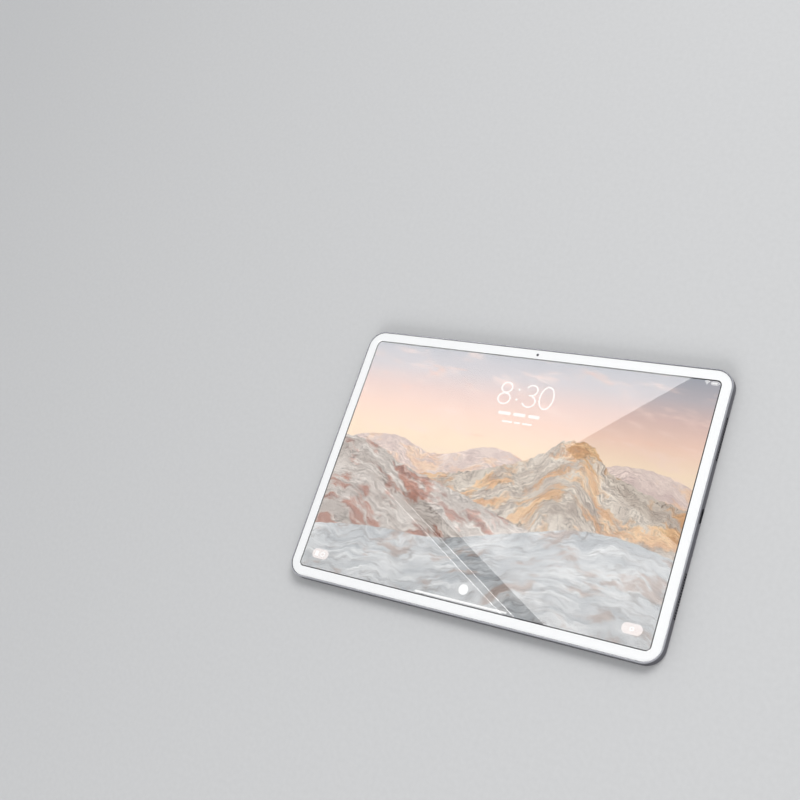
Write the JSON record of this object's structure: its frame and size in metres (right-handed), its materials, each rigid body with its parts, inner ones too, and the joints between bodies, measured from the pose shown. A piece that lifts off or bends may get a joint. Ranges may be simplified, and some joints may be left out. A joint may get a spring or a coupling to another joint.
{
  "type": "tablet computer",
  "caption": "Thin slab tablet computer with a white-bordered touch screen, metal back, sprung side keys, a sliding card tray, speaker grilles and a charging port.",
  "frame": {"origin": "centre of the back face, the tablet lying on its back", "axes": "+X along the long side towards the charging port, +Y across towards the front camera, +Z out of the screen"},
  "size_m": [0.2573, 0.1773, 0.0075],
  "materials": {
    "anodised_body": "fine-blasted anodised, slate grey",
    "cover_glass": "polished, clear",
    "white_ink": "opaque white print seen through the glass",
    "touch_film": "clear film",
    "clear_adhesive": "clear",
    "display_picture": "lit picture",
    "diffuser_film": "satin white",
    "clear_acrylic": "clear",
    "white_film": "mirror white",
    "led_strip": "white LEDs on a film",
    "sheet_steel": "rolled sheet",
    "black_foam": "closed-cell foam tape",
    "cast_frame": "machined",
    "black_steel": "black oxide",
    "battery_pouch": "black laminate",
    "adhesive_strip": "white pull strip",
    "circuit_board": "solder mask",
    "black_cable": "matt",
    "chip_package": "moulded",
    "shield_steel": "tinned",
    "graphite": "satin",
    "connector_plastic": "moulded",
    "steel_screw": "plain",
    "flex_film": "polyimide",
    "port_steel": "drawn",
    "port_plastic": "moulded",
    "gold_contact": "gold plated",
    "speaker_plastic": "moulded",
    "speaker_mesh": "woven",
    "camera_black": "matt black",
    "lens_glass": "coated",
    "camera_ring": "polished anodised",
    "dark_window": "polished, tinted",
    "led_phosphor": "phosphor",
    "flash_plastic": "clear moulding",
    "sensor_epoxy": "filter",
    "anodised_key": "anodised, slate grey",
    "switch_metal": "stamped",
    "tray_metal": "anodised, slate grey",
    "seal_rubber": "matt",
    "window_plastic": "moulded, painted to match the body",
    "antenna_plastic": "plated plastic"
  },
  "bodies": {
    "tablet": {"rear_cover": "anodised_body", "cover_glass": "cover_glass", "border_print": "white_ink", "touch_sensor": "touch_film", "optical_adhesive": "clear_adhesive", "lcd_cell": "display_picture", "diffuser_films": "diffuser_film", "light_guide": "clear_acrylic", "reflector_sheet": "white_film", "backlight_led_strip": "led_strip", "display_tray": "sheet_steel", "glass_gasket": "black_foam", "mid_frame": "cast_frame", "frame_screws": "black_steel", "battery_cell_left": "battery_pouch", "battery_cell_right": "battery_pouch", "battery_adhesive": "adhesive_strip", "battery_board": "circuit_board", "battery_cable": "black_cable", "main_board": "circuit_board", "processor": "chip_package", "memory_chips": "chip_package", "controller_chips": "chip_package", "shield_can_main": "shield_steel", "shield_can_radio": "shield_steel", "heat_spreader": "graphite", "board_connectors": "connector_plastic", "board_screws": "steel_screw", "display_flex": "flex_film", "usb_board": "circuit_board", "usb_shell": "port_steel", "usb_tongue": "port_plastic", "usb_contacts": "gold_contact", "usb_flex": "flex_film", "speaker_right_upper": "speaker_plastic", "speaker_right_lower": "speaker_plastic", "speaker_left_upper": "speaker_plastic", "speaker_left_lower": "speaker_plastic", "speaker_meshes": "speaker_mesh", "front_camera_module": "camera_black", "front_camera_lens": "lens_glass", "rear_camera_module": "camera_black", "rear_camera_lens": "lens_glass", "rear_camera_ring": "camera_ring", "rear_camera_glass": "dark_window", "flash_led": "led_phosphor", "flash_lens": "flash_plastic", "light_sensor": "sensor_epoxy", "key_switches": "switch_metal", "key_flexes": "flex_film", "card_reader": "shield_steel", "microphones": "switch_metal", "antenna_windows": "window_plastic", "wifi_antennas": "antenna_plastic", "antenna_cables": "black_cable"},
    "power_key": {"power_button": "anodised_key"},
    "volume_up_key": {"volume_up_button": "anodised_key"},
    "volume_down_key": {"volume_down_button": "anodised_key"},
    "card_drawer": {"card_tray": "tray_metal", "tray_seal": "seal_rubber"}
  },
  "joints": [
    {"name": "power_press", "type": "slide", "parent": "tablet", "child": "power_key", "axis": [1, 0, 0], "range_m": [0, 0.00025], "stiffness_N_per_m": 800, "springref_m": -0.0005},
    {"name": "volume_up_press", "type": "slide", "parent": "tablet", "child": "volume_up_key", "axis": [0, -1, 0], "range_m": [0, 0.00025], "stiffness_N_per_m": 800, "springref_m": -0.0005},
    {"name": "volume_down_press", "type": "slide", "parent": "tablet", "child": "volume_down_key", "axis": [0, -1, 0], "range_m": [0, 0.00025], "stiffness_N_per_m": 800, "springref_m": -0.0005},
    {"name": "card_tray_slide", "type": "slide", "parent": "tablet", "child": "card_drawer", "axis": [0, 1, 0], "range_m": [0, 0.018]}
  ]
}
